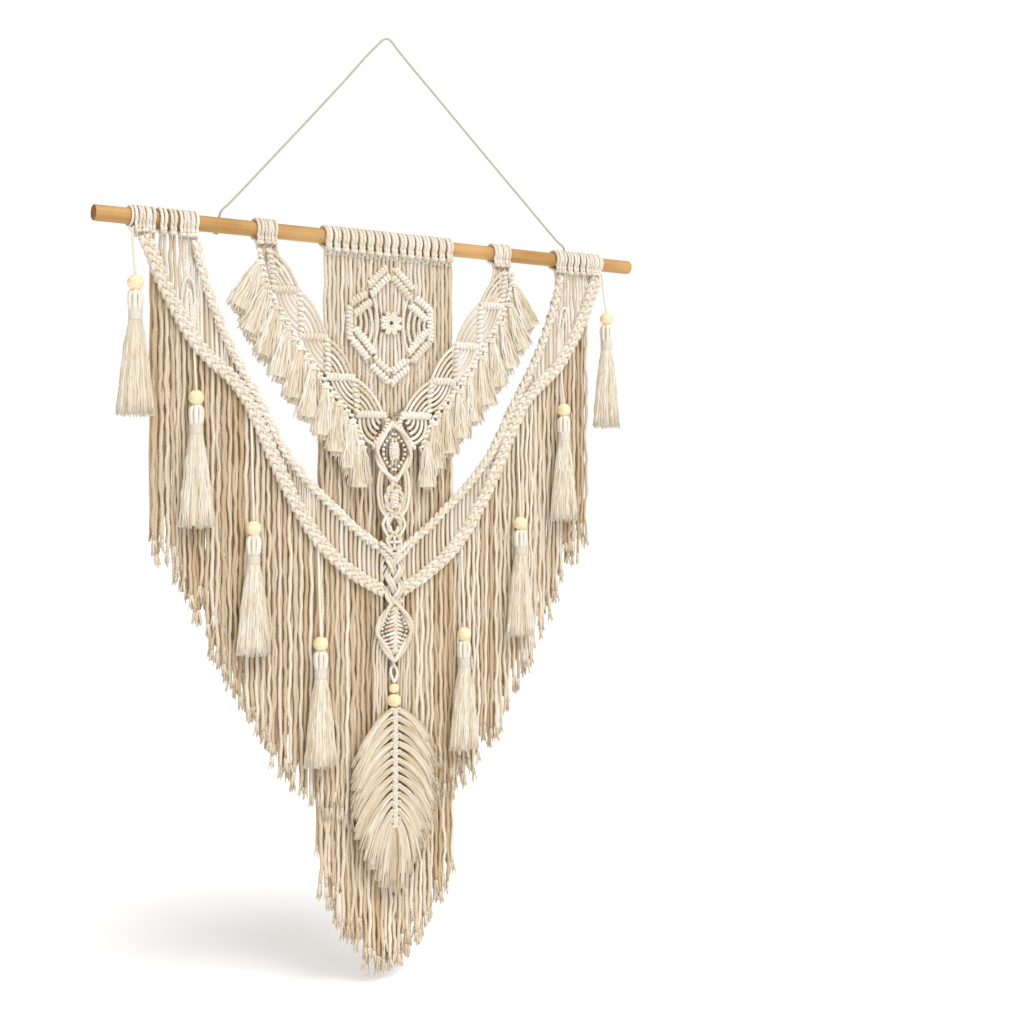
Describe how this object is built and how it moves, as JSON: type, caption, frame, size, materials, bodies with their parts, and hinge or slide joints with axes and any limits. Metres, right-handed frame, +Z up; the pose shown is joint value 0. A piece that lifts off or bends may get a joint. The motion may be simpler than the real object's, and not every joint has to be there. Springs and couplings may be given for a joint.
{
  "type": "macrame wall hanging on a wooden rod",
  "caption": "Knotted cotton hanging with braids, garlands, a feather, tassels and long pointed fringe on a round wooden rod, hung by a thin string from one nail.",
  "frame": {"origin": "the nail, at the underside of the hanger string's highest point", "axes": "+Z up, +X along the rod to the viewer's right, +Y into the wall, so the front faces -Y"},
  "size_m": [0.9, 0.0506, 1.3828],
  "materials": {
    "rod": "smooth, lightly polished",
    "hanger_cord": "thin twisted cotton string",
    "hanger_knot_left": "stopper knot",
    "hanger_knot_right": "stopper knot",
    "centre_panel": "knotted cotton cord",
    "centre_fringe": "loose cotton cord",
    "side_panel_left": "knotted cotton cord",
    "side_fringe_left": "loose cotton cord",
    "garland_left": "knotted cotton cord",
    "garland_tufts_left": "combed cotton",
    "side_panel_right": "knotted cotton cord",
    "side_fringe_right": "loose cotton cord",
    "garland_right": "knotted cotton cord",
    "garland_tufts_right": "combed cotton",
    "centre_column": "knotted cotton cord",
    "bead_small": "smooth pale wood",
    "bead_large": "smooth pale wood",
    "feather": "combed cotton",
    "tassel_1_left": "combed cotton",
    "tassel_wrap_1_left": "wound cotton thread",
    "tassel_bead_1_left": "smooth pale wood",
    "tassel_2_left": "combed cotton",
    "tassel_wrap_2_left": "wound cotton thread",
    "tassel_bead_2_left": "smooth pale wood",
    "tassel_3_left": "combed cotton",
    "tassel_wrap_3_left": "wound cotton thread",
    "tassel_bead_3_left": "smooth pale wood",
    "tassel_4_left": "combed cotton",
    "tassel_wrap_4_left": "wound cotton thread",
    "tassel_bead_4_left": "smooth pale wood",
    "tassel_1_right": "combed cotton",
    "tassel_wrap_1_right": "wound cotton thread",
    "tassel_bead_1_right": "smooth pale wood",
    "tassel_2_right": "combed cotton",
    "tassel_wrap_2_right": "wound cotton thread",
    "tassel_bead_2_right": "smooth pale wood",
    "tassel_3_right": "combed cotton",
    "tassel_wrap_3_right": "wound cotton thread",
    "tassel_bead_3_right": "smooth pale wood",
    "tassel_4_right": "combed cotton",
    "tassel_wrap_4_right": "wound cotton thread",
    "tassel_bead_4_right": "smooth pale wood"
  },
  "bodies": {
    "root": {"rod": "rod", "hanger_cord": "hanger_cord", "hanger_knot_left": "hanger_knot_left", "hanger_knot_right": "hanger_knot_right", "centre_panel": "centre_panel", "centre_fringe": "centre_fringe", "side_panel_left": "side_panel_left", "side_fringe_left": "side_fringe_left", "garland_left": "garland_left", "garland_tufts_left": "garland_tufts_left", "side_panel_right": "side_panel_right", "side_fringe_right": "side_fringe_right", "garland_right": "garland_right", "garland_tufts_right": "garland_tufts_right", "centre_column": "centre_column", "bead_small": "bead_small", "bead_large": "bead_large", "feather": "feather", "tassel_1_left": "tassel_1_left", "tassel_wrap_1_left": "tassel_wrap_1_left", "tassel_bead_1_left": "tassel_bead_1_left", "tassel_2_left": "tassel_2_left", "tassel_wrap_2_left": "tassel_wrap_2_left", "tassel_bead_2_left": "tassel_bead_2_left", "tassel_3_left": "tassel_3_left", "tassel_wrap_3_left": "tassel_wrap_3_left", "tassel_bead_3_left": "tassel_bead_3_left", "tassel_4_left": "tassel_4_left", "tassel_wrap_4_left": "tassel_wrap_4_left", "tassel_bead_4_left": "tassel_bead_4_left", "tassel_1_right": "tassel_1_right", "tassel_wrap_1_right": "tassel_wrap_1_right", "tassel_bead_1_right": "tassel_bead_1_right", "tassel_2_right": "tassel_2_right", "tassel_wrap_2_right": "tassel_wrap_2_right", "tassel_bead_2_right": "tassel_bead_2_right", "tassel_3_right": "tassel_3_right", "tassel_wrap_3_right": "tassel_wrap_3_right", "tassel_bead_3_right": "tassel_bead_3_right", "tassel_4_right": "tassel_4_right", "tassel_wrap_4_right": "tassel_wrap_4_right", "tassel_bead_4_right": "tassel_bead_4_right"}
  },
  "joints": []
}
